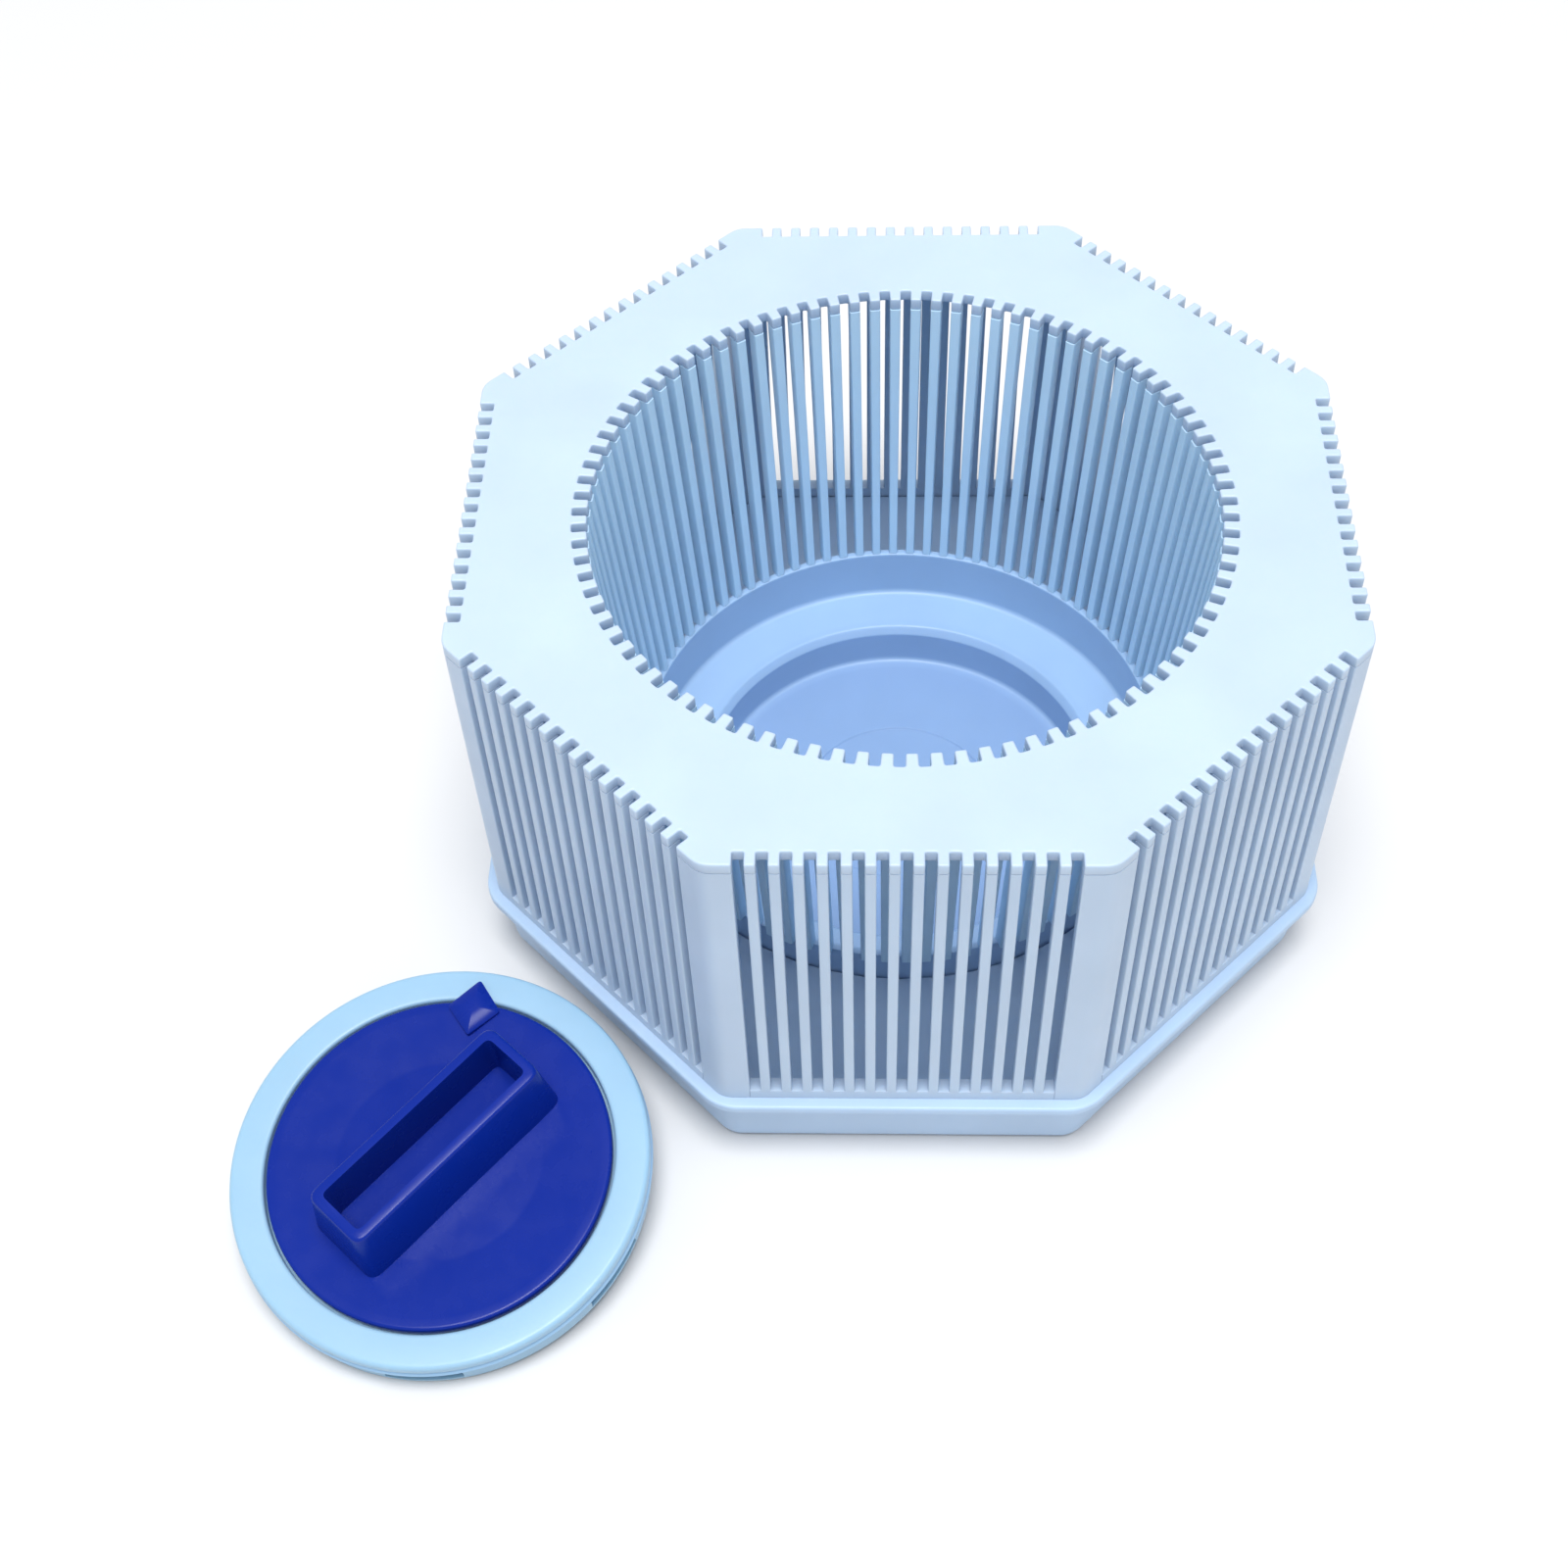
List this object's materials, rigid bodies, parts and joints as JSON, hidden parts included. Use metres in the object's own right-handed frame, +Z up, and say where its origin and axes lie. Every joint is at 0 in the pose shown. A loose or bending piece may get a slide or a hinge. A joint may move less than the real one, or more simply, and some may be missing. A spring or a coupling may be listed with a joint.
{
  "type": "floating chlorine dispenser",
  "caption": "Eight-sided slotted pool dispenser basket with a round slotted well on a shallow float base, and its loose round dosing cap with a turning dial.",
  "frame": {"origin": "centre of the flat underside of the base", "axes": "+Z up; a flat side faces -Y; the cap lies towards -X and -Y"},
  "size_m": [0.2613, 0.2676, 0.115],
  "materials": {
    "basket_plastic": "satin moulded polypropylene, pale blue",
    "base_plastic": "satin moulded polypropylene, pale blue",
    "float_foam": "closed-cell foam, matt",
    "collar_plastic": "satin moulded plastic, light sky blue",
    "seal_rubber": "soft translucent rubber",
    "dial_plastic": "glossy moulded plastic, royal blue",
    "pin_plastic": "natural moulded plastic"
  },
  "bodies": {
    "body": {"base_pan": "base_plastic", "float_cover": "base_plastic", "well_tray": "base_plastic", "float_ring": "float_foam", "deck": "basket_plastic", "side_grille_1": "basket_plastic", "side_grille_2": "basket_plastic", "side_grille_3": "basket_plastic", "side_grille_4": "basket_plastic", "side_grille_5": "basket_plastic", "side_grille_6": "basket_plastic", "side_grille_7": "basket_plastic", "side_grille_8": "basket_plastic", "corner_post_1": "basket_plastic", "corner_post_2": "basket_plastic", "corner_post_3": "basket_plastic", "corner_post_4": "basket_plastic", "corner_post_5": "basket_plastic", "corner_post_6": "basket_plastic", "corner_post_7": "basket_plastic", "corner_post_8": "basket_plastic", "well_grille_1": "basket_plastic", "well_grille_2": "basket_plastic", "well_grille_3": "basket_plastic", "well_grille_4": "basket_plastic", "well_grille_5": "basket_plastic", "well_grille_6": "basket_plastic", "well_grille_7": "basket_plastic", "well_grille_8": "basket_plastic", "well_grille_9": "basket_plastic", "well_grille_10": "basket_plastic", "well_grille_11": "basket_plastic", "well_grille_12": "basket_plastic", "well_grille_13": "basket_plastic", "well_grille_14": "basket_plastic", "well_grille_15": "basket_plastic"},
    "cap": {"cap_collar": "collar_plastic", "cap_seal": "seal_rubber"},
    "dial": {"dial_knob": "dial_plastic", "dosing_sleeve": "collar_plastic", "centre_pin": "pin_plastic"}
  },
  "joints": [
    {"name": "cap_lift", "type": "slide", "parent": "body", "child": "cap", "axis": [0, 0, 1], "range_m": [0, 0.12]},
    {"name": "dial_turn", "type": "hinge", "parent": "cap", "child": "dial", "pos_m": [-0.1072, -0.1128, 0.00005], "axis": [-0.0293, -0.1093, 0.9936], "range_deg": [0, 30]}
  ]
}
